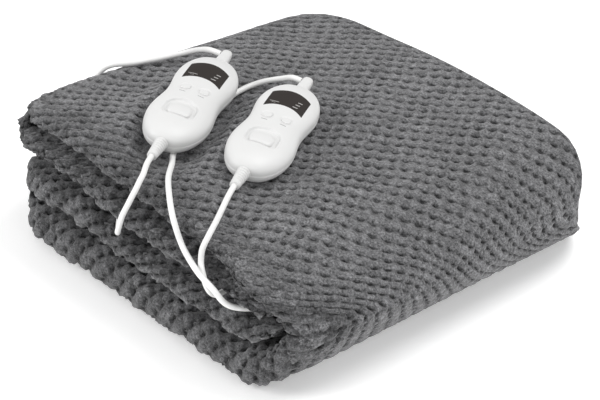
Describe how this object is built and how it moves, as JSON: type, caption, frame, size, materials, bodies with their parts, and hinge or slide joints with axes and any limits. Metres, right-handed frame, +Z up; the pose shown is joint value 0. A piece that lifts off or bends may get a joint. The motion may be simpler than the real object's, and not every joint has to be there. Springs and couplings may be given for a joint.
{
  "type": "electric heated blanket",
  "caption": "Thick fleece heated blanket folded into a soft stack, with white handset controllers and their cords lying on it and tucked into its folds.",
  "frame": {"origin": "on the surface that the blanket lies on, under the middle of the folded blanket", "axes": "+Z up, -Y towards the front where the rolled edges show, +X towards the smooth outer wrap"},
  "size_m": [0.5026, 0.4066, 0.1516],
  "materials": {
    "fleece": "soft knobbly fleece",
    "case_plastic": "satin white",
    "key_plastic": "satin white",
    "window_plastic": "smoked dark",
    "cord_sheath": "satin off-white",
    "pin_metal": "nickel plated"
  },
  "bodies": {
    "root": {"blanket": "fleece", "left_case_bottom": "case_plastic", "left_case_top": "case_plastic", "left_window": "window_plastic", "left_boot": "case_plastic", "left_relief": "case_plastic", "left_mains_cord": "cord_sheath", "left_blanket_cord": "cord_sheath", "left_coil": "cord_sheath", "left_tail": "cord_sheath", "left_plug": "cord_sheath", "left_pin_a": "pin_metal", "left_pin_b": "pin_metal", "right_case_bottom": "case_plastic", "right_case_top": "case_plastic", "right_window": "window_plastic", "right_boot": "case_plastic", "right_relief": "case_plastic", "right_mains_cord": "cord_sheath", "right_blanket_cord": "cord_sheath", "right_coil": "cord_sheath", "right_tail": "cord_sheath", "right_plug": "cord_sheath", "right_pin_a": "pin_metal", "right_pin_b": "pin_metal"},
    "left_button_a": {"left_button_a": "key_plastic"},
    "left_button_b": {"left_button_b": "key_plastic"},
    "left_slide": {"left_slide": "key_plastic"},
    "right_button_a": {"right_button_a": "key_plastic"},
    "right_button_b": {"right_button_b": "key_plastic"},
    "right_slide": {"right_slide": "key_plastic"}
  },
  "joints": [
    {"name": "left_button_a_press", "type": "slide", "parent": "root", "child": "left_button_a", "axis": [-0.1519, -0.0842, -0.9848], "range_m": [0, 0.0008], "stiffness_N_per_m": 1500, "springref_m": -0.0006},
    {"name": "left_button_b_press", "type": "slide", "parent": "root", "child": "left_button_b", "axis": [-0.1519, -0.0842, -0.9848], "range_m": [0, 0.0008], "stiffness_N_per_m": 1500, "springref_m": -0.0006},
    {"name": "left_switch_slide", "type": "slide", "parent": "root", "child": "left_slide", "axis": [-0.4848, 0.8746, 0], "range_m": [0, 0.005]},
    {"name": "right_button_a_press", "type": "slide", "parent": "root", "child": "right_button_a", "axis": [-0.1526, -0.0829, -0.9848], "range_m": [0, 0.0008], "stiffness_N_per_m": 1500, "springref_m": -0.0006},
    {"name": "right_button_b_press", "type": "slide", "parent": "root", "child": "right_button_b", "axis": [-0.1526, -0.0829, -0.9848], "range_m": [0, 0.0008], "stiffness_N_per_m": 1500, "springref_m": -0.0006},
    {"name": "right_switch_slide", "type": "slide", "parent": "root", "child": "right_slide", "axis": [-0.4772, 0.8788, 0], "range_m": [0, 0.005]}
  ]
}
